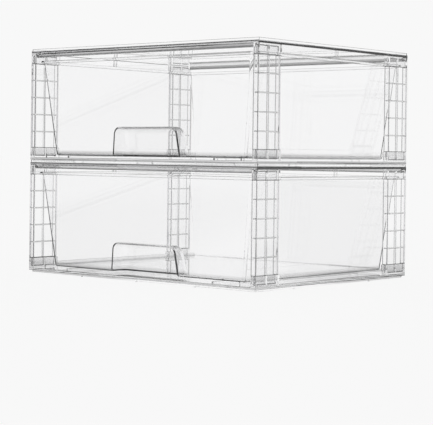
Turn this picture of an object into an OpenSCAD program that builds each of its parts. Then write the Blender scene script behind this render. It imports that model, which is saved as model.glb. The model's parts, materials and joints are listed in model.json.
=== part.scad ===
// Stackable drawer box: two equal tiers of clear moulded plastic. Each tier is a bottom panel, a top
// panel, four corner posts that plug into sockets, and one tapered drawer with a finger pocket.
// Millimetres, +Z up, +X to the right, drawers open towards -Y.
// The origin is at the middle of the footprint, on the surface that the feet stand on.

/* [Frame] */
// Width across the side faces
body_w = 351; // [300:1:420]
// Depth from the front face to the rear face
body_d = 282; // [240:1:340]
// Length of post that shows between its two sockets
post_h = 100.5; // [80:0.5:140]

/* [Panels] */
// Thickness of the bottom panel's plate
floor_t = 2.8; // [1.6:0.1:3]
// Thickness of the top panel's plate
roof_t = 2.6; // [1.8:0.1:3]
// Thickness of the side rails and the side skirts
rail_t = 1.8; // [1.4:0.1:2.6]
// Height of the bottom panel's side rails above its underside
rail_h = 8.6; // [5:0.2:10]
// Depth of the top panel's side skirts below its plate
skirt_h = 9.4; // [6:0.2:11]
// Height of the front and rear bars, with the plate
bar_h = 7.6; // [7:0.2:8.6]
// Thickness of those bars, front to back
bar_d = 6.2; // [6:0.2:9]
// Slant of their outer faces below the plate, in degrees from upright
bar_slant = 22; // [14:1:28]
// Radius of their outer lower edge
bar_r = 4; // [1:0.2:4.4]
// Radius of their inner lower edge
bar_inner_r = 0.8; // [0.4:0.2:1]

/* [Stacking] */
// Width of the lip along the top panel's outer edge
lip_t = 1.6; // [1.2:0.1:2]
// Height of the lip above the plate
lip_h = 2.6; // [1.5:0.1:3]
// Outer corner radius of the lip
lip_r = 2.4; // [2.2:0.2:6]
// Gap between the lip and the ring that sits inside it
stack_gap = 0.5; // [0.3:0.1:1]
// Width of the locating ring under the bottom panel
ring_t = 1.8; // [1.2:0.1:2.6]
// Outer corner radius of the locating ring
ring_r = 3; // [2.8:0.2:8]
// Height of the locating ring
ring_h = 2; // [1.5:0.1:3]
// Height of the feet below the ring
foot_h = 1; // [0.8:0.1:2]
// Radius of a foot
foot_r = 1.4; // [1:0.1:2]

/* [Posts] */
// Depth of a post's flanges, in from the side face
post_t = 7; // [5.5:0.1:9]
// Length of a post along the side face
post_l = 38.3; // [30:0.1:50]
// Thickness of a post's outer web
web_t = 1.8; // [1.4:0.1:2.4]
// Thickness of its front and rear flanges
flange_t = 2.2; // [1.6:0.1:3]
// Thickness of its middle rib
mid_rib_t = 1.8; // [1.2:0.1:3]
// Depth of its middle rib, in from the side face
mid_rib_d = 4.2; // [3:0.1:5]
// Number of rungs
rung_n = 4; // [2:1:5]
// Distance from rung to rung
rung_pitch = 20.4; // [14:0.1:22]
// Distance from the middle of the post down to the middle of the set of rungs
rung_drop = 0.5; // [0.2:0.1:4]
// Thickness of a rung
rung_t = 1.4; // [1:0.1:2]
// Depth of a rung, in from the side face
rung_d = 5.6; // [4:0.1:5.6]
// Radius of the fillets inside the channel
fillet_r = 1; // [0.5:0.1:1.2]

/* [Sockets] */
// Height of the lower sockets, with the plate
low_socket_h = 14.6; // [12:0.2:20]
// Height of the upper sockets, with the plate
high_socket_h = 14.5; // [12:0.5:20]
// Length of socket that stands past the post
socket_over = 2.4; // [1.5:0.1:4]
// Thickness of a socket's outer wall
socket_wall = 1.5; // [1.2:0.1:2]
// Thickness of the partition between a socket's two cells
socket_mid_t = 2; // [1.4:0.1:3]
// Length of a tongue
tongue_l = 10; // [6:0.5:11]
// Gap round a tongue in its cell
tongue_gap = 0.2; // [0.1:0.05:0.4]
// Gap between a tongue's end and the bottom of its cell
tongue_end_gap = 0.6; // [0.4:0.1:1.5]
// Chamfer at a tongue's end
tongue_bevel = 0.8; // [0.4:0.1:1.2]

/* [Drawer] */
// Setback of the rim from the front face
rim_front = 3.4; // [2:0.1:10]
// Setback of the rim from the rear face
rim_rear = 1.5; // [1:0.1:8]
// Gap between the rim and the posts at each side
rim_side_gap = 1.5; // [1:0.1:4]
// Gap between the rim and the front bar above it
rim_top_gap = 3.9; // [2:0.1:8]
// Overhang of the rim past the walls
rim_over = 3.4; // [2:0.1:5]
// Thickness of the rim
rim_t = 1.8; // [1.4:0.1:2.4]
// Height of the rim with its turned-down edge
rim_h = 3.4; // [2.4:0.1:6]
// Thickness of the turned-down edge
rim_edge_t = 1.4; // [1:0.1:1.8]
// Outer corner radius of the walls at the top
drawer_r = 5; // [4:0.5:12]
// Radius of the rounded edges round the drawer's floor
drawer_edge_r = 3.5; // [3:0.5:4]
// Thickness of the walls and the floor
drawer_wall = 2; // [1.5:0.1:3]
// Lean of each side wall over its height
side_lean = 15.6; // [8:0.2:24]
// Lean of the front wall over its height
front_lean = 8.4; // [2:0.2:12]
// Lean of the rear wall over its height
rear_lean = 5.4; // [0.6:0.2:9]

/* [Finger pocket] */
// Width of the pocket's opening at the drawer's floor
pocket_w = 102; // [60:1:140]
// Height of the pocket's ceiling above the drawer's underside
pocket_h = 32; // [24:0.5:50]
// Depth of the pocket at its ceiling
pocket_d = 19; // [14:0.5:24]
// Draft of each side of the pocket, over its height
pocket_draft = 3.4; // [1:0.2:8]
// Draft of the pocket's rear wall, over its height
pocket_rear_draft = 4.5; // [1:0.5:8]
// Radius of the pocket's inner edges
pocket_r = 7.5; // [5:0.5:10]

/* [Runners] */
// Distance from the middle to each runner
runner_x = 113; // [80:1:120]
// Width of a runner
runner_w = 2.4; // [1.6:0.2:4]
// Height of a runner above the plate
runner_h = 2.1; // [1.5:0.1:4]
// Gap between the runners and the drawer
slide_gap = 0.3; // [0.2:0.05:0.6]
// Gap between the guide ribs and the drawer's sides
guide_gap = 1.5; // [1:0.1:3]
// Height of the guide ribs and the rear stops above the plate
guide_h = 4.6; // [3.4:0.2:6]
// Thickness of the guide ribs and the rear stops
guide_t = 1.6; // [1.2:0.1:2.4]
// Length of each rear stop
stop_l = 30; // [15:1:50]
// Distance from the middle to each rear stop
stop_x = 85; // [60:1:95]
// Gap between the rear stops and the drawer
stop_gap = 0.4; // [0.3:0.1:1]

/* [Hidden] */
// Number of tiers
tier_n = 2;
// Overshoot of a cut past the face it opens
cut = 1;
// Thickness of the slices that a hull is stretched between
slice = 0.01;
// Sides of a full round in a smooth hull
hull_fn = 32;
// Sides of a full round elsewhere
round_fn = 48;

// Heights within a tier, from the bottom of its feet
base_z = foot_h + ring_h;
post_z = base_z + low_socket_h;
high_z = post_z + post_h;
pitch = high_z + high_socket_h;
roof_z = pitch - roof_t;
bar_z = pitch - bar_h;
skirt_z = roof_z - skirt_h;
deck_z = base_z + floor_t;
rung_mid_z = post_z + post_h / 2 - rung_drop;

// Sockets and tongues
socket_l = post_l + socket_over;
cell_l = (post_l - 2 * flange_t - socket_mid_t) / 2;
cell_t = post_t - 2 * socket_wall;
cell_depth = tongue_l + tongue_end_gap;

// Feet, placed along the ring
foot_gap_x = body_w / 4;
foot_gap_y = body_d / 4;
ring_inset = lip_t + stack_gap;
foot_inset = ring_inset + foot_r;

// Bars and skirts run between the sockets
bar_l = body_w - 2 * post_t;
rail_l = body_d - 2 * socket_l;
// Two small ribs stand at the middle of each skirt
skirt_rib_t = 1;
skirt_rib_gap = 4.4;
skirt_rib_d = 1.6;

// The drawer, within a tier
drawer_z = deck_z + runner_h + slide_gap;
drawer_top = bar_z - rim_top_gap;
drawer_h = drawer_top - drawer_z;
rim_w = body_w - 2 * (post_t + rim_side_gap);
rim_y0 = -body_d / 2 + rim_front;
rim_y1 = body_d / 2 - rim_rear;
top_x = rim_w / 2 - rim_over;
top_y0 = rim_y0 + rim_over;
top_y1 = rim_y1 - rim_over;
low_x = top_x - side_lean;
low_y0 = top_y0 + front_lean;
low_y1 = top_y1 - rear_lean;

// The finger pocket, within a tier
pocket_top = drawer_z + pocket_h;
pocket_top_y = low_y0 - front_lean * pocket_h / drawer_h + pocket_d;
pocket_front_y = rim_y0 - cut;

// Guides and stops stand just off the drawer where it is widest at their height
guide_x = low_x + side_lean * guide_h / drawer_h + guide_gap;
stop_y = low_y1 + rear_lean * guide_h / drawer_h + stop_gap;
runner_l = stop_y - guide_t - rim_y0;

// ---------------------------------------------------------------- outlines

// Rectangle with round corners, from x0, y0 to x1, y1
module round_rect(x0, y0, x1, y1, r) {
    translate([x0 + r, y0]) square([x1 - x0 - 2 * r, y1 - y0]);
    translate([x0, y0 + r]) square([x1 - x0, y1 - y0 - 2 * r]);
    for (x = [x0 + r, x1 - r], y = [y0 + r, y1 - r])
        translate([x, y]) circle(r, $fn = round_fn);
}

// Ring of width t that follows the frame's outline at an inset
module frame_ring(inset, t, r) {
    x = body_w / 2 - inset;
    y = body_d / 2 - inset;
    difference() {
        round_rect(-x, -y, x, y, r);
        round_rect(-x + t, -y + t, x - t, y - t, r - t);
    }
}

// Concave fillet in the corner of the first quadrant
module fillet(r) {
    difference() {
        square(r);
        translate([r, r]) circle(r, $fn = round_fn);
    }
}

// ---------------------------------------------------------------- placing

// Copies its children to the four corners. They are drawn for the corner at the origin, with the
// side face at X = 0, the end face at Y = 0, and the body of the frame towards +X and +Y.
module at_corner(side, end) {
    translate([side * body_w / 2, end * body_d / 2, 0])
        mirror([side > 0 ? 1 : 0, 0, 0])
            mirror([0, end > 0 ? 1 : 0, 0])
                children();
}

module at_corners() {
    for (side = [-1, 1], end = [-1, 1])
        at_corner(side, end) children();
}

// ---------------------------------------------------------------- posts and sockets

// Plan of a post: outer web, two flanges, a middle rib and fillets inside the channel
module post_plan() {
    square([web_t, post_l]);
    square([post_t, flange_t]);
    translate([0, post_l - flange_t]) square([post_t, flange_t]);
    translate([0, (post_l - mid_rib_t) / 2]) square([mid_rib_d, mid_rib_t]);
    translate([web_t, flange_t]) fillet(fillet_r);
    translate([web_t, post_l - flange_t]) mirror([0, 1]) fillet(fillet_r);
}

// A tongue with a chamfered end, pointing up from z = 0
module tongue() {
    t = cell_t - 2 * tongue_gap;
    l = cell_l - 2 * tongue_gap;
    translate([socket_wall + tongue_gap, l, 0])
        rotate([90, 0, 0])
            linear_extrude(l)
                polygon([
                    [0, 0], [t, 0], [t, tongue_l - tongue_bevel], [t - tongue_bevel, tongue_l],
                    [tongue_bevel, tongue_l], [0, tongue_l - tongue_bevel]
                ]);
}

// Start of each of a socket's two cells, along the post
function cell_start(i) = flange_t + i * (cell_l + socket_mid_t);

module tongues() {
    for (i = [0, 1])
        translate([0, cell_start(i) + tongue_gap, 0]) tongue();
}

module post(side, end) {
    color("#dfe9ec")
        at_corner(side, end) {
            translate([0, 0, post_z]) linear_extrude(post_h) post_plan();
            for (i = [0 : rung_n - 1])
                translate([0, 0, rung_mid_z + (i - (rung_n - 1) / 2) * rung_pitch - rung_t / 2])
                    cube([rung_d, post_l, rung_t]);
            translate([0, 0, high_z]) tongues();
            translate([0, 0, post_z]) mirror([0, 0, 1]) tongues();
        }
}

// Socket block from z = 0 to h. Its two cells open at the top.
module socket(h) {
    difference() {
        cube([post_t, socket_l, h]);
        for (i = [0, 1])
            translate([socket_wall, cell_start(i), h - cell_depth])
                cube([cell_t, cell_l, cell_depth + cut]);
    }
}

// ---------------------------------------------------------------- panels

// Locating ring and feet under the bottom panel
module ring_and_feet() {
    translate([0, 0, foot_h]) linear_extrude(ring_h) frame_ring(ring_inset, ring_t, ring_r);
    for (end = [-1, 1], i = [-1, 0, 1])
        translate([i * foot_gap_x, end * (body_d / 2 - foot_inset), 0])
            cylinder(h = foot_h + ring_h, r = foot_r, $fn = round_fn);
    for (side = [-1, 1], i = [-1, 1])
        translate([side * (body_w / 2 - foot_inset), i * foot_gap_y, 0])
            cylinder(h = foot_h + ring_h, r = foot_r, $fn = round_fn);
}

// Runners that carry the drawer, guide ribs beside it and stops behind it
module slides() {
    for (side = [-1, 1]) {
        translate([side * runner_x - runner_w / 2, rim_y0, deck_z])
            cube([runner_w, runner_l, runner_h]);
        translate([side * (guide_x + guide_t / 2) - guide_t / 2, rim_y0, deck_z])
            cube([guide_t, runner_l, guide_h]);
        translate([side * stop_x - stop_l / 2, stop_y, deck_z])
            cube([stop_l, guide_t, guide_h]);
    }
}

module bottom_panel() {
    color("#e6eef0") {
        translate([-body_w / 2, -body_d / 2, base_z]) cube([body_w, body_d, floor_t]);
        for (side = [-1, 1])
            translate([side * (body_w - rail_t) / 2 - rail_t / 2, -rail_l / 2, base_z])
                cube([rail_t, rail_l, rail_h]);
        at_corners() translate([0, 0, base_z]) socket(low_socket_h);
        slides();
        ring_and_feet();
    }
}

// Section of the front bar, with its outer face at X = 0. Below the plate that face slants inwards
// and runs into a rounded edge.
module bar_section() {
    slant_h = bar_h - roof_t;
    lean = [cos(bar_slant), sin(bar_slant)];
    mid = [(bar_r + (slant_h - bar_r) * lean.y) / lean.x, bar_r];
    difference() {
        union() {
            translate([mid.x, 0]) square([bar_d - mid.x, bar_h]);
            intersection() {
                translate(mid) circle(bar_r, $fn = round_fn);
                square(mid);
            }
            polygon([[0, slant_h], mid - bar_r * lean, mid, [mid.x, bar_h], [0, bar_h]]);
        }
        translate([bar_d, 0]) mirror([1, 0]) fillet(bar_inner_r);
    }
}

module bars() {
    for (end = [0, 1])
        mirror([0, end, 0])
            translate([-bar_l / 2, -body_d / 2, bar_z])
                rotate([90, 0, 90])
                    linear_extrude(bar_l)
                        bar_section();
}

// Side skirts, each with two small ribs inside at the middle of its length
module skirts() {
    for (side = [0, 1])
        mirror([side, 0, 0])
            translate([body_w / 2 - rail_t, 0, skirt_z]) {
                translate([0, -rail_l / 2, 0]) cube([rail_t, rail_l, skirt_h]);
                for (y = [-skirt_rib_gap / 2, skirt_rib_gap / 2])
                    translate([-skirt_rib_d, y - skirt_rib_t / 2, 0])
                        cube([skirt_rib_d, skirt_rib_t, skirt_h]);
            }
}

module top_panel() {
    color("#e6eef0") {
        translate([-body_w / 2, -body_d / 2, roof_z]) cube([body_w, body_d, roof_t]);
        translate([0, 0, pitch]) linear_extrude(lip_h) frame_ring(0, lip_t, lip_r);
        bars();
        skirts();
        at_corners() translate([0, 0, pitch]) mirror([0, 0, 1]) socket(high_socket_h);
    }
}

// ---------------------------------------------------------------- drawer

// Tapered tub between the drawer's underside and its top, drawn in by an inset on every wall.
// The straight stretch above the top is there to cut through it.
module tub(inset, over) {
    edge = drawer_edge_r - inset;
    hull() {
        translate([0, 0, drawer_top])
            linear_extrude(slice + over)
                round_rect(-top_x + inset, top_y0 + inset, top_x - inset, top_y1 - inset, drawer_r - inset);
        for (side = [-1, 1], y = [low_y0 + drawer_edge_r, low_y1 - drawer_edge_r])
            translate([side * (low_x - drawer_edge_r), y, drawer_z + drawer_edge_r])
                sphere(edge, $fn = hull_fn);
    }
}

// The pocket's hollow, grown by a wall. It is open at the front and at the bottom, and wider there.
module pocket_form(grow) {
    r = pocket_r + grow;
    x = pocket_w / 2 - pocket_draft - pocket_r;
    y = pocket_top_y - pocket_r;
    z = pocket_top - pocket_r;
    hull() {
        for (side = [-1, 1]) {
            translate([side * x, y, z]) sphere(r, $fn = hull_fn);
            translate([side * x, pocket_front_y, z]) rotate([-90, 0, 0]) cylinder(h = slice, r = r, $fn = hull_fn);
            translate([side * (x + pocket_draft), y + pocket_rear_draft, drawer_z - cut])
                cylinder(h = slice, r = r, $fn = hull_fn);
            translate([side * (x + pocket_draft), pocket_front_y, drawer_z - cut])
                translate([-r, 0, 0]) cube([2 * r, slice, slice]);
        }
    }
}

// Flat rim with a turned-down edge
module rim() {
    x = rim_w / 2;
    r = drawer_r + rim_over;
    difference() {
        translate([0, 0, drawer_top - rim_h])
            linear_extrude(rim_h) round_rect(-x, rim_y0, x, rim_y1, r);
        translate([0, 0, drawer_top - rim_h - cut])
            linear_extrude(rim_h - rim_t + cut)
                round_rect(-x + rim_edge_t, rim_y0 + rim_edge_t, x - rim_edge_t, rim_y1 - rim_edge_t, r - rim_edge_t);
        translate([0, 0, drawer_top - rim_h - cut])
            linear_extrude(rim_h + 2 * cut)
                round_rect(
                    -top_x + drawer_wall, top_y0 + drawer_wall, top_x - drawer_wall, top_y1 - drawer_wall,
                    drawer_r - drawer_wall
                );
    }
}

module drawer() {
    color("#f0f5f6")
        difference() {
            union() {
                difference() {
                    tub(0, 0);
                    tub(drawer_wall, cut);
                }
                intersection() {
                    tub(0, 0);
                    pocket_form(drawer_wall);
                }
                rim();
            }
            pocket_form(0);
        }
}

// ---------------------------------------------------------------- the two tiers

module tier(i) {
    translate([0, 0, i * pitch]) children();
}

tier(0) bottom_panel();  // lower_bottom_panel
tier(0) top_panel();  // lower_top_panel
tier(0) post(-1, -1);  // lower_post_front_left
tier(0) post(1, -1);  // lower_post_front_right
tier(0) post(-1, 1);  // lower_post_rear_left
tier(0) post(1, 1);  // lower_post_rear_right
tier(0) drawer();  // lower_drawer
tier(1) bottom_panel();  // upper_bottom_panel
tier(1) top_panel();  // upper_top_panel
tier(1) post(-1, -1);  // upper_post_front_left
tier(1) post(1, -1);  // upper_post_front_right
tier(1) post(-1, 1);  // upper_post_rear_left
tier(1) post(1, 1);  // upper_post_rear_right
tier(1) drawer();  // upper_drawer
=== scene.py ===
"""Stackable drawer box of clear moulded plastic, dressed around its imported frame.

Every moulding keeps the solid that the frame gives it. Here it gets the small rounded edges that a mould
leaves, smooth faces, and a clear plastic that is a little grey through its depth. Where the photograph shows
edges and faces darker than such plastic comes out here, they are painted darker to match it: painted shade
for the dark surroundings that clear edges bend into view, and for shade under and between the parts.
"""

import json
import math

import bmesh
import bpy
from mathutils import Matrix, Vector


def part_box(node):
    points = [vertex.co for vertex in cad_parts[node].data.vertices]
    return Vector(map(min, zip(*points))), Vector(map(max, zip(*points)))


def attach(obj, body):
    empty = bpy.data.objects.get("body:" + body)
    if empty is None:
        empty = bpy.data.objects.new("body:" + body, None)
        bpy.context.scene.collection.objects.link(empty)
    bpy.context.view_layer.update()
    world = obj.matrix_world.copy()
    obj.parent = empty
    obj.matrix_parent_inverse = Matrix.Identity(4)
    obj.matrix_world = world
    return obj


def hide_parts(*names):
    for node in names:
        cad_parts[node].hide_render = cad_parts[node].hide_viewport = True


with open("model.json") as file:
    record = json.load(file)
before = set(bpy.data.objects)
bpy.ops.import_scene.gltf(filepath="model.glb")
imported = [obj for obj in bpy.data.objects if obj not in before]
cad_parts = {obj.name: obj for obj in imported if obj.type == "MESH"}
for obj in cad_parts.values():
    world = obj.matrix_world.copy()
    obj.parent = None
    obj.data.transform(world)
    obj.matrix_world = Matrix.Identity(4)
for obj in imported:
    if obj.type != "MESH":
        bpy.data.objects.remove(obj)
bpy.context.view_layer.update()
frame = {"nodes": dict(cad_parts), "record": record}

# ------------------------------------------------------------------ sizes, in metres
MM = 0.001
EDGE_ROUND = 0.4 * MM            # width of the rounded edge that a mould leaves
EDGE_STEPS = 2                   # how many flats make up that width
EDGE_SHARE = 0.42                # share of a short step that a rounded edge may take
LEAST_ROUND = 0.12 * MM          # an edge with less room than this stays sharp
LIP = 2.6 * MM                   # height of a top panel's lip above its plate
BAR_DEPTH = 8 * MM               # depth of the bars, front to back
HALF_WAY = 150 * MM              # a height between the two tiers' top panels
REAR_PART = 12 * MM              # depth of a drawer's rear wall with its lean
TONGUE = 10 * MM                 # how far a post's tongues reach past its shoulders
AIR_GAP = 0.06 * MM              # air between two faces that touch
MERGE_GAP = 0.004 * MM           # vertices closer than this are one
SLIVER = 0.02 * MM               # shorter edges are closed up, and a face this near a side lies in it

# ------------------------------------------------------------------ how edges and faces are told apart
SHARP_ANGLE = math.radians(30)   # a turn sharper than this is an edge
CREASE_ANGLE = math.radians(50)  # faces that turn more than this don't shade into each other
FLAT_ANGLE = math.radians(0.4)   # faces within this angle are one face
SAME_LINE = 0.8                  # cosine from which one edge carries on the line of another
UPRIGHT = 0.1                    # a face whose normal rises or falls less than this stands upright
LEVEL = 0.95                     # a face whose normal rises or falls at least this much lies level
FORWARD = -0.2                   # a face whose normal has a Y below this looks forward
EDGE_PULL = 0.001                # how much a rounded edge turns the shading of the faces beside it

# ------------------------------------------------------------------ painted shade, from 0 for clear to 1 for black
EDGE_DARK = {"top_panel": 0.65, "bottom_panel": 0.4, "post": 0.97, "drawer": 0.65}  # painted shade on the rounded edges, for the dark that they bend into view
FRONT_DARK = 0.95                # painted shade on the strip that a top panel's plate shows at its front edge
FRONT_STRIP = (0.3 * MM, 1.6 * MM)  # how far below the plate's top that strip starts and ends
SIDE_DARK = 0.97                 # painted shade on the strip that the plate shows at its side edges
SIDE_STRIP = (1.0 * MM, 3.0 * MM)   # how far below the plate's top that strip starts and ends
BAR_DARK = 0.35                  # painted shade on the outer face of the lower tier's front bar, from the tier above
BAND_DARK = 0.22                 # painted shade along the lower edge of a drawer's front and side walls
BAND = (3.5 * MM, 7.0 * MM)      # heights above its underside at which that painted shade starts to fade and ends
BAND_CUTS = (0.5, 0.67, 0.84, 1)    # shares of the upper height at which the walls are cut, for an even fade
TONGUE_DARK = (0.2, 0.08)        # painted shade on the posts' lower and upper tongues

# ------------------------------------------------------------------ the clear plastic
FACE_TINT = (0.998, 0.998, 1.0)  # what a wall's face lets through
DEPTH_TINT = (0.45, 0.45, 0.46)  # what its depth lets through
REFRACTION = 1.53                # how strongly it bends light
WAVE_DETAIL = 1.0                # finer waves on top of the slow ones
WEAR_SCALE = 90.0                # worn patches in a metre
WEAR_DETAIL = 4.0                # finer patches on top of these
WEAR_FROM = 0.45                 # value of the pattern from which a patch is worn
WEAR_TO = 0.75                   # and from which it is fully worn
HAZE = 0.01                      # roughness of a fully worn patch
LEAST_HAZE = 0.5                 # share of that roughness that the best polish still has

# ------------------------------------------------------------------ the photograph's view
PHOTO_W = 433                    # pixels
PHOTO_H = 425
VIEW_AZIMUTH = math.radians(40.70)   # how far the camera stands round from the front, towards the right
VIEW_DISTANCE = 1.7250           # metres from the middle of the footprint
VIEW_ASIDE = -0.0013             # metres to the camera's own right
VIEW_HEIGHT = 0.1445             # metres above the ground
VIEW_ROLL = math.radians(0.7345)     # how far the camera leans to one side
FOCAL_PX = 1441.2                # focal length, in the photograph's pixels
HORIZON_ROW = 154.4              # the row that the level view looks along
SENSOR_W = 36.0                  # millimetres
VIEW_REACH = 100                 # metres that the camera sees

# ------------------------------------------------------------------ light, as a share of the paper's white
WHITE = 0.939                    # the paper white behind the object, as light
CEILING = 0.15                   # how bright the room is overhead
CEILING_FROM = 0.07              # sine of the height at which the room starts to darken
CEILING_TO = 0.50                # sine of the height from which it is darkest
SIDES = 0.8                      # how bright the room is beside and behind the camera
SIDES_FROM = math.radians(50)    # angle from the view at which the room starts to darken
SIDES_TO = math.radians(95)      # angle from the view from which it is darkest
ROOM_STEPS = 120                 # steps of height, and of direction, for the room's mean
FLOOR_SIDES = 0.63               # painted shade: how bright the floor close beside the object is, except to the camera
FLOOR_NEAR = 0.6                 # metres from the middle up to which it is that dark
FLOOR_FAR = 1.0                  # metres from the middle from which it is as white as the paper
ASIDE_FROM = 0.70                # how squarely aside a direction points where the floor starts to be beside
ASIDE_TO = 0.96                  # and where it is fully beside
PAPER = 0.9                      # the paper's own colour
FLOOR_SHARE = 0.8                # share of the floor's light that is the paper's own white
FLOOR_HALF = 20.0                # metres, half the floor's width

CLEAR_BOUNCES = 40               # turns that light may take in all, and through clear plastic
GLOSSY_BOUNCES = 24              # turns that it may take off polished faces


# ------------------------------------------------------------------ small helpers
def new_material(name):
    material = bpy.data.materials.new(name)
    material.use_nodes = True
    material.node_tree.nodes.clear()
    return material, material.node_tree


def add_node(tree, kind, **settings):
    node = tree.nodes.new(kind)
    for key, value in settings.items():
        setattr(node, key, value)
    return node


def smooth_rise(value, start, end):
    share = min(max((value - start) / (end - start), 0), 1)
    return share * share * (3 - 2 * share)


# ------------------------------------------------------------------ clear plastic
def clear_plastic(name, murk, wave_size, wave_depth):
    """Polished clear plastic. murk is how fast depth darkens it, in 1/m.

    The "edge" value at a face's corners darkens that face: painted shade.
    """
    material, tree = new_material(name)
    out = add_node(tree, "ShaderNodeOutputMaterial")
    skin = add_node(tree, "ShaderNodeBsdfPrincipled")
    # Painted shade: the "edge" value mixes the face's colour towards black
    rim = add_node(tree, "ShaderNodeAttribute", attribute_name="edge")
    painted_shade_mix = add_node(tree, "ShaderNodeMix", data_type="RGBA")
    painted_shade_mix.inputs["A"].default_value = (*FACE_TINT, 1)
    painted_shade_mix.inputs["B"].default_value = (0, 0, 0, 1)
    tree.links.new(rim.outputs["Fac"], painted_shade_mix.inputs["Factor"])
    tree.links.new(painted_shade_mix.outputs["Result"], skin.inputs["Base Color"])
    skin.inputs["Transmission Weight"].default_value = 1.0
    skin.inputs["IOR"].default_value = REFRACTION
    place = add_node(tree, "ShaderNodeTexCoord")

    # Slow waves in the moulded faces, which bend what shows through them a little
    waves = add_node(tree, "ShaderNodeTexNoise")
    waves.inputs["Scale"].default_value = 1 / wave_size
    waves.inputs["Detail"].default_value = WAVE_DETAIL
    bump = add_node(tree, "ShaderNodeBump")
    bump.inputs["Strength"].default_value = 1.0
    bump.inputs["Distance"].default_value = wave_depth
    tree.links.new(place.outputs["Object"], waves.inputs["Vector"])
    tree.links.new(waves.outputs["Fac"], bump.inputs["Height"])
    tree.links.new(bump.outputs["Normal"], skin.inputs["Normal"])

    # Fine wear, where hands and other boxes have rubbed the polish
    wear = add_node(tree, "ShaderNodeTexNoise")
    wear.inputs["Scale"].default_value = WEAR_SCALE
    wear.inputs["Detail"].default_value = WEAR_DETAIL
    amount = add_node(tree, "ShaderNodeMapRange")
    amount.inputs["From Min"].default_value = WEAR_FROM
    amount.inputs["From Max"].default_value = WEAR_TO
    amount.inputs["To Min"].default_value = HAZE * LEAST_HAZE
    amount.inputs["To Max"].default_value = HAZE
    tree.links.new(place.outputs["Object"], wear.inputs["Vector"])
    tree.links.new(wear.outputs["Fac"], amount.inputs["Value"])
    tree.links.new(amount.outputs["Result"], skin.inputs["Roughness"])

    depth = add_node(tree, "ShaderNodeVolumeAbsorption")
    depth.inputs["Color"].default_value = (*DEPTH_TINT, 1)
    depth.inputs["Density"].default_value = murk
    tree.links.new(skin.outputs["BSDF"], out.inputs["Surface"])
    tree.links.new(depth.outputs["Volume"], out.inputs["Volume"])
    return material


# ------------------------------------------------------------------ the mouldings' shapes
def edge_room(edge, width):
    """The rounding that an edge has room for, up to a width: a short step beside it leaves less."""
    along = (edge.verts[1].co - edge.verts[0].co).normalized()
    for corner in edge.verts:
        for other in corner.link_edges:
            step = other.other_vert(corner).co - corner.co
            if other is not edge and abs(step.normalized().dot(along)) < SAME_LINE:
                width = min(width, EDGE_SHARE * step.length)
    return width if width > LEAST_ROUND else 0


def cut_level(bm, heights):
    """Cuts the faces along level lines, where what they look like changes."""
    for height in heights:
        everything = bm.verts[:] + bm.edges[:] + bm.faces[:]
        bmesh.ops.bisect_plane(bm, geom=everything, dist=SLIVER, plane_co=(0, 0, height), plane_no=(0, 0, 1))


def mark_edges(bm):
    """Gives each sharp outer edge its width of rounding, as a share of the full width."""
    share = bm.edges.layers.float.new("bevel_weight_edge")
    for edge in bm.edges:
        if len(edge.link_faces) == 2 and edge.calc_face_angle_signed() > SHARP_ANGLE:
            edge[share] = edge_room(edge, EDGE_ROUND) / EDGE_ROUND


def moulded_copy(node, kind):
    """The node's own solid as one closed mesh of flat and smooth faces."""
    mesh = bpy.data.meshes.new(node + "_moulding")
    bm = bmesh.new()
    bm.from_mesh(frame["nodes"][node].data)
    bmesh.ops.remove_doubles(bm, verts=bm.verts, dist=MERGE_GAP)
    bmesh.ops.dissolve_degenerate(bm, dist=SLIVER, edges=bm.edges)
    bmesh.ops.dissolve_limit(bm, angle_limit=FLAT_ANGLE, verts=bm.verts, edges=bm.edges)
    low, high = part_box(node)
    if kind == "top_panel":
        cut_level(bm, [high.z - LIP - drop for drop in FRONT_STRIP + SIDE_STRIP])
    if kind == "drawer":
        cut_level(bm, [low.z + share * BAND[1] for share in BAND_CUTS])
    mark_edges(bm)
    bm.to_mesh(mesh)
    bm.free()
    return bpy.data.objects.new(node + "_moulding", mesh)


def ease_level(piece, level, shift):
    """Moves the vertices at one height, so that a sliver of air is left where two pieces touch."""
    for vertex in piece.data.vertices:
        if abs(vertex.co.z - level) < MERGE_GAP:
            vertex.co.z += shift


def ease_contacts(piece, kind, node):
    """Leaves air at a post's shoulders, which lie on the sockets' rims, and under the upper tier's feet."""
    low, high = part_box(node)
    if kind == "post":
        ease_level(piece, low.z + TONGUE, AIR_GAP)
        ease_level(piece, high.z - TONGUE, -AIR_GAP)
    if node == "upper_bottom_panel":
        ease_level(piece, low.z, AIR_GAP)


def baked(piece):
    """The piece's mesh as its modifiers leave it."""
    bpy.context.view_layer.update()
    graph = bpy.context.evaluated_depsgraph_get()
    mesh = bpy.data.meshes.new_from_object(piece.evaluated_get(graph), depsgraph=graph)
    piece.modifiers.clear()
    return mesh


def round_edges(piece, plastic):
    """Rounds the marked edges. Their faces carry a second, empty material until they are shaded."""
    for slot in (plastic, None):
        piece.data.materials.append(slot)
    for face in piece.data.polygons:
        face.use_smooth = True
        face.material_index = 0
    rounding = piece.modifiers.new("edges", "BEVEL")
    rounding.width = EDGE_ROUND
    rounding.segments = EDGE_STEPS
    rounding.limit_method = "WEIGHT"
    rounding.use_clamp_overlap = False
    rounding.loop_slide = False
    rounding.material = 1
    piece.data = baked(piece)


# ------------------------------------------------------------------ the mouldings' looks
def strip_darkness(face, low, high):
    """Painted shade on a top panel's outer face: light runs along its plate, which shows as a dark strip
    there.
    """
    drop = high.z - LIP - face.center.z
    if abs(face.normal.z) < UPRIGHT:
        if abs(face.center.x) > high.x - SLIVER and SIDE_STRIP[0] < drop < SIDE_STRIP[1]:
            return SIDE_DARK
        if face.center.y < low.y + SLIVER and FRONT_STRIP[0] < drop < FRONT_STRIP[1]:
            return FRONT_DARK
    return 0.0


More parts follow.
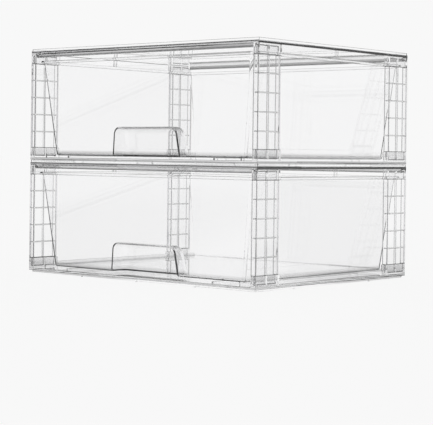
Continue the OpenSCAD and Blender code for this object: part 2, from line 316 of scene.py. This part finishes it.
def shaded_bar(face, low, high):
    """How dark the outer face of the lower tier's front bar is, where the tier above shades it."""
    facing = face.center.y < low.y + BAR_DEPTH and face.normal.y < FORWARD
    below_plate = face.center.z < high.z - LIP - FRONT_STRIP[1]
    return BAR_DARK if high.z < HALF_WAY and facing and below_plate else 0.0


def face_darkness(face, kind, low, high):
    """How much painted shade a whole face gets, darkening the light that comes through it."""
    own = EDGE_DARK[kind] * face.material_index
    if kind == "top_panel":
        return max(own, strip_darkness(face, low, high), shaded_bar(face, low, high))
    # Painted shade on the posts' tongues
    if kind == "post" and face.center.z < low.z + TONGUE:
        return max(own, TONGUE_DARK[0])
    if kind == "post" and face.center.z > high.z - TONGUE:
        return max(own, TONGUE_DARK[1])
    return own


def shows_band(face, kind, high):
    """Whether a face is part of a drawer's front or side walls, whose lower edge gets painted shade."""
    rear = face.center.y > high.y - REAR_PART
    return kind == "drawer" and abs(face.normal.z) < LEVEL and not rear


def band_darkness(height):
    """How much painted shade a drawer's wall gets at a height above its underside."""
    return BAND_DARK * (1 - smooth_rise(height, BAND[0], BAND[1]))


def note_darkness(mesh, kind, node):
    """Writes the painted shade at each corner of each face, which the material reads."""
    # The "edge" attribute holds painted shade, on the rounded edges and on whole faces
    edge = mesh.attributes.new("edge", "FLOAT", "CORNER")
    low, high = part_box(node)
    for face in mesh.polygons:
        dark = face_darkness(face, kind, low, high)
        wall = shows_band(face, kind, high)
        for loop, corner in zip(face.loop_indices, face.vertices):
            band = band_darkness(mesh.vertices[corner].co.z - low.z) if wall else 0.0
            edge.data[loop].value = max(dark, band)


def shade_corners(mesh):
    """Shades flats flat and rounds round: the large faces lead at a corner, and rounded edges follow."""
    pull = [face.area * (EDGE_PULL if face.material_index else 1.0) for face in mesh.polygons]
    around = [[] for _ in mesh.vertices]
    for face in mesh.polygons:
        for corner in face.vertices:
            around[corner].append(face)
    least = math.cos(CREASE_ANGLE)
    normals = []
    for face in mesh.polygons:
        for corner in face.vertices:
            near = [other for other in around[corner] if other.normal.dot(face.normal) > least]
            total = sum((other.normal * pull[other.index] for other in near), Vector())
            normals.append((total or face.normal).normalized())
    mesh.normals_split_custom_set(normals)


def finish_moulding(piece, kind, node, plastic):
    """Rounds the edges, notes each face's painted shade, and smooths the shading."""
    bpy.context.scene.collection.objects.link(piece)
    round_edges(piece, plastic)
    note_darkness(piece.data, kind, node)
    shade_corners(piece.data)
    for face in piece.data.polygons:
        face.material_index = 0
    piece.data.materials.pop(index=1)


# ------------------------------------------------------------------ floor, light and view
def room_light():
    """What the room sheds on the floor, next to the paper's white: a mean over all directions above it."""
    total = 0.0
    for i in range(ROOM_STEPS):
        z = (i + 0.5) / ROOM_STEPS
        overhead = 1 + (CEILING - 1) * smooth_rise(z, CEILING_FROM, CEILING_TO)
        for j in range(ROOM_STEPS):
            ahead = math.sqrt(1 - z * z) * math.cos(2 * math.pi * (j + 0.5) / ROOM_STEPS)
            aside = SIDES + (1 - SIDES) * smooth_rise(ahead, math.cos(SIDES_TO), math.cos(SIDES_FROM))
            total += 2 * z * overhead * aside / ROOM_STEPS / ROOM_STEPS
    return total


def floor_brightness(tree, rays):
    """How strongly the floor glows: less close beside the object, as painted shade, except to the camera
    itself.
    """
    place = add_node(tree, "ShaderNodeTexCoord")
    reach = add_node(tree, "ShaderNodeVectorMath", operation="LENGTH")
    far = add_node(tree, "ShaderNodeMapRange", interpolation_type="SMOOTHSTEP")
    far.inputs["From Min"].default_value = FLOOR_NEAR
    far.inputs["From Max"].default_value = FLOOR_FAR
    way = add_node(tree, "ShaderNodeVectorMath", operation="NORMALIZE")
    across = add_node(tree, "ShaderNodeVectorMath", operation="DOT_PRODUCT")
    across.inputs[1].default_value = (math.cos(VIEW_AZIMUTH), math.sin(VIEW_AZIMUTH), 0)
    either = add_node(tree, "ShaderNodeMath", operation="ABSOLUTE")
    aside = add_node(tree, "ShaderNodeMapRange", interpolation_type="SMOOTHSTEP")
    aside.inputs["From Min"].default_value = ASIDE_FROM
    aside.inputs["From Max"].default_value = ASIDE_TO
    aside.inputs["To Min"].default_value = 1.0
    aside.inputs["To Max"].default_value = FLOOR_SIDES
    outwards = add_node(tree, "ShaderNodeMix", data_type="FLOAT")
    outwards.inputs["B"].default_value = 1.0
    direct = add_node(tree, "ShaderNodeMix", data_type="FLOAT")
    direct.inputs["B"].default_value = 1.0
    tree.links.new(place.outputs["Object"], reach.inputs[0])
    tree.links.new(reach.outputs["Value"], far.inputs["Value"])
    tree.links.new(place.outputs["Object"], way.inputs[0])
    tree.links.new(way.outputs["Vector"], across.inputs[0])
    tree.links.new(across.outputs["Value"], either.inputs[0])
    tree.links.new(either.outputs[0], aside.inputs["Value"])
    tree.links.new(far.outputs["Result"], outwards.inputs["Factor"])
    tree.links.new(aside.outputs["Result"], outwards.inputs["A"])
    tree.links.new(outwards.outputs["Result"], direct.inputs["A"])
    tree.links.new(rays.outputs["Is Camera Ray"], direct.inputs["Factor"])
    return direct.outputs["Result"]


def white_share(tree, rays):
    """How much of the floor's light is its own white.

    Where the floor is seen, mirrored or seen through plastic, that is FLOOR_SHARE. Elsewhere it is none.
    """
    mirrored = add_node(tree, "ShaderNodeMath", operation="MAXIMUM")
    shown = add_node(tree, "ShaderNodeMath", operation="MAXIMUM")
    share = add_node(tree, "ShaderNodeMath", operation="MULTIPLY")
    share.inputs[1].default_value = FLOOR_SHARE
    tree.links.new(rays.outputs["Is Camera Ray"], mirrored.inputs[0])
    tree.links.new(rays.outputs["Is Glossy Ray"], mirrored.inputs[1])
    tree.links.new(mirrored.outputs[0], shown.inputs[0])
    tree.links.new(rays.outputs["Is Transmission Ray"], shown.inputs[1])
    tree.links.new(shown.outputs[0], share.inputs[0])
    return share.outputs[0]


def white_floor():
    """Paper that glows with its own white and keeps a faint shadow."""
    material, tree = new_material("paper_floor")
    glow_level = WHITE * (1 - (1 - FLOOR_SHARE) * PAPER * room_light()) / FLOOR_SHARE
    out = add_node(tree, "ShaderNodeOutputMaterial")
    paper = add_node(tree, "ShaderNodeBsdfDiffuse")
    paper.inputs["Color"].default_value = (PAPER, PAPER, PAPER, 1)
    glow = add_node(tree, "ShaderNodeEmission")
    glow.inputs["Color"].default_value = (glow_level, glow_level, glow_level, 1)
    rays = add_node(tree, "ShaderNodeLightPath")
    mix = add_node(tree, "ShaderNodeMixShader")
    tree.links.new(floor_brightness(tree, rays), glow.inputs["Strength"])
    tree.links.new(white_share(tree, rays), mix.inputs["Fac"])
    tree.links.new(paper.outputs[0], mix.inputs[1])
    tree.links.new(glow.outputs[0], mix.inputs[2])
    tree.links.new(mix.outputs[0], out.inputs["Surface"])
    return material


def stage_floor():
    """A wide floor of white paper, a little below the feet."""
    half = FLOOR_HALF
    mesh = bpy.data.meshes.new("floor")
    corners = [(-half, -half, 0), (half, -half, 0), (half, half, 0), (-half, half, 0)]
    mesh.from_pydata(corners, [], [(0, 1, 2, 3)])
    floor = bpy.data.objects.new("floor", mesh)
    bpy.context.scene.collection.objects.link(floor)
    floor.location.z = -AIR_GAP
    floor.data.materials.append(white_floor())


def studio_light():
    """White paper swept up behind the object. The room darkens overhead, beside and behind the camera."""
    world = bpy.data.worlds.new("studio")
    bpy.context.scene.world = world
    world.use_nodes = True
    tree = world.node_tree
    tree.nodes.clear()
    out = add_node(tree, "ShaderNodeOutputWorld")
    light = add_node(tree, "ShaderNodeBackground")
    light.inputs["Color"].default_value = (WHITE, WHITE, WHITE, 1)
    place = add_node(tree, "ShaderNodeTexCoord")
    split = add_node(tree, "ShaderNodeSeparateXYZ")
    fade = add_node(tree, "ShaderNodeMapRange", interpolation_type="SMOOTHSTEP")
    fade.inputs["From Min"].default_value = CEILING_FROM
    fade.inputs["From Max"].default_value = CEILING_TO
    fade.inputs["To Min"].default_value = 1.0
    fade.inputs["To Max"].default_value = CEILING
    ahead = add_node(tree, "ShaderNodeVectorMath", operation="DOT_PRODUCT")
    ahead.inputs[1].default_value = (-math.sin(VIEW_AZIMUTH), math.cos(VIEW_AZIMUTH), 0)
    aside = add_node(tree, "ShaderNodeMapRange", interpolation_type="SMOOTHSTEP")
    aside.inputs["From Min"].default_value = math.cos(SIDES_TO)
    aside.inputs["From Max"].default_value = math.cos(SIDES_FROM)
    aside.inputs["To Min"].default_value = SIDES
    aside.inputs["To Max"].default_value = 1.0
    both = add_node(tree, "ShaderNodeMath", operation="MULTIPLY")
    rays = add_node(tree, "ShaderNodeLightPath")
    seen = add_node(tree, "ShaderNodeMix", data_type="FLOAT")
    seen.inputs["B"].default_value = 1.0
    tree.links.new(place.outputs["Generated"], split.inputs[0])
    tree.links.new(split.outputs["Z"], fade.inputs["Value"])
    tree.links.new(place.outputs["Generated"], ahead.inputs[0])
    tree.links.new(ahead.outputs["Value"], aside.inputs["Value"])
    tree.links.new(fade.outputs["Result"], both.inputs[0])
    tree.links.new(aside.outputs["Result"], both.inputs[1])
    tree.links.new(both.outputs[0], seen.inputs["A"])
    tree.links.new(rays.outputs["Is Camera Ray"], seen.inputs["Factor"])
    tree.links.new(seen.outputs["Result"], light.inputs["Strength"])
    tree.links.new(light.outputs[0], out.inputs["Surface"])


def photo_camera():
    """The camera that the photograph was taken with, as fitted to the object's outer corners."""
    camera = bpy.data.cameras.new("photo_view")
    camera.sensor_width = SENSOR_W
    camera.lens = FOCAL_PX / PHOTO_W * SENSOR_W
    camera.shift_y = (HORIZON_ROW - PHOTO_H / 2) / PHOTO_W
    camera.clip_end = VIEW_REACH
    holder = bpy.data.objects.new("photo_view", camera)
    bpy.context.scene.collection.objects.link(holder)
    back = Vector((math.sin(VIEW_AZIMUTH), -math.cos(VIEW_AZIMUTH), 0))
    right = Vector((math.cos(VIEW_AZIMUTH), math.sin(VIEW_AZIMUTH), 0))
    turn = Matrix.Rotation(VIEW_AZIMUTH, 4, "Z") @ Matrix.Rotation(math.pi / 2, 4, "X")
    place = Matrix.Translation(back * VIEW_DISTANCE + right * VIEW_ASIDE + Vector((0, 0, VIEW_HEIGHT)))
    holder.matrix_world = place @ turn @ Matrix.Rotation(VIEW_ROLL, 4, "Z")
    bpy.context.scene.camera = holder


# ------------------------------------------------------------------ making
photo_camera()
stage_floor()
studio_light()
scene = bpy.context.scene
scene.view_settings.view_transform = "Standard"
scene.cycles.max_bounces = CLEAR_BOUNCES
scene.cycles.transmission_bounces = CLEAR_BOUNCES
scene.cycles.glossy_bounces = GLOSSY_BOUNCES

PLASTICS = {
    "top_panel": clear_plastic("clear_top", murk=3.0, wave_size=60 * MM, wave_depth=0.01 * MM),
    "bottom_panel": clear_plastic("clear_bottom", murk=1.5, wave_size=60 * MM, wave_depth=0.01 * MM),
    "post": clear_plastic("clear_post", murk=14.0, wave_size=40 * MM, wave_depth=0.005 * MM),
    "drawer": clear_plastic("clear_drawer", murk=5.0, wave_size=80 * MM, wave_depth=0.02 * MM),
}

for body, nodes in frame["record"]["behaviour"]["bodies"].items():
    for node in nodes:
        kind = next(name for name in PLASTICS if name in node)
        piece = moulded_copy(node, kind)
        ease_contacts(piece, kind, node)
        finish_moulding(piece, kind, node, PLASTICS[kind])
        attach(piece, body)
        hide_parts(node)
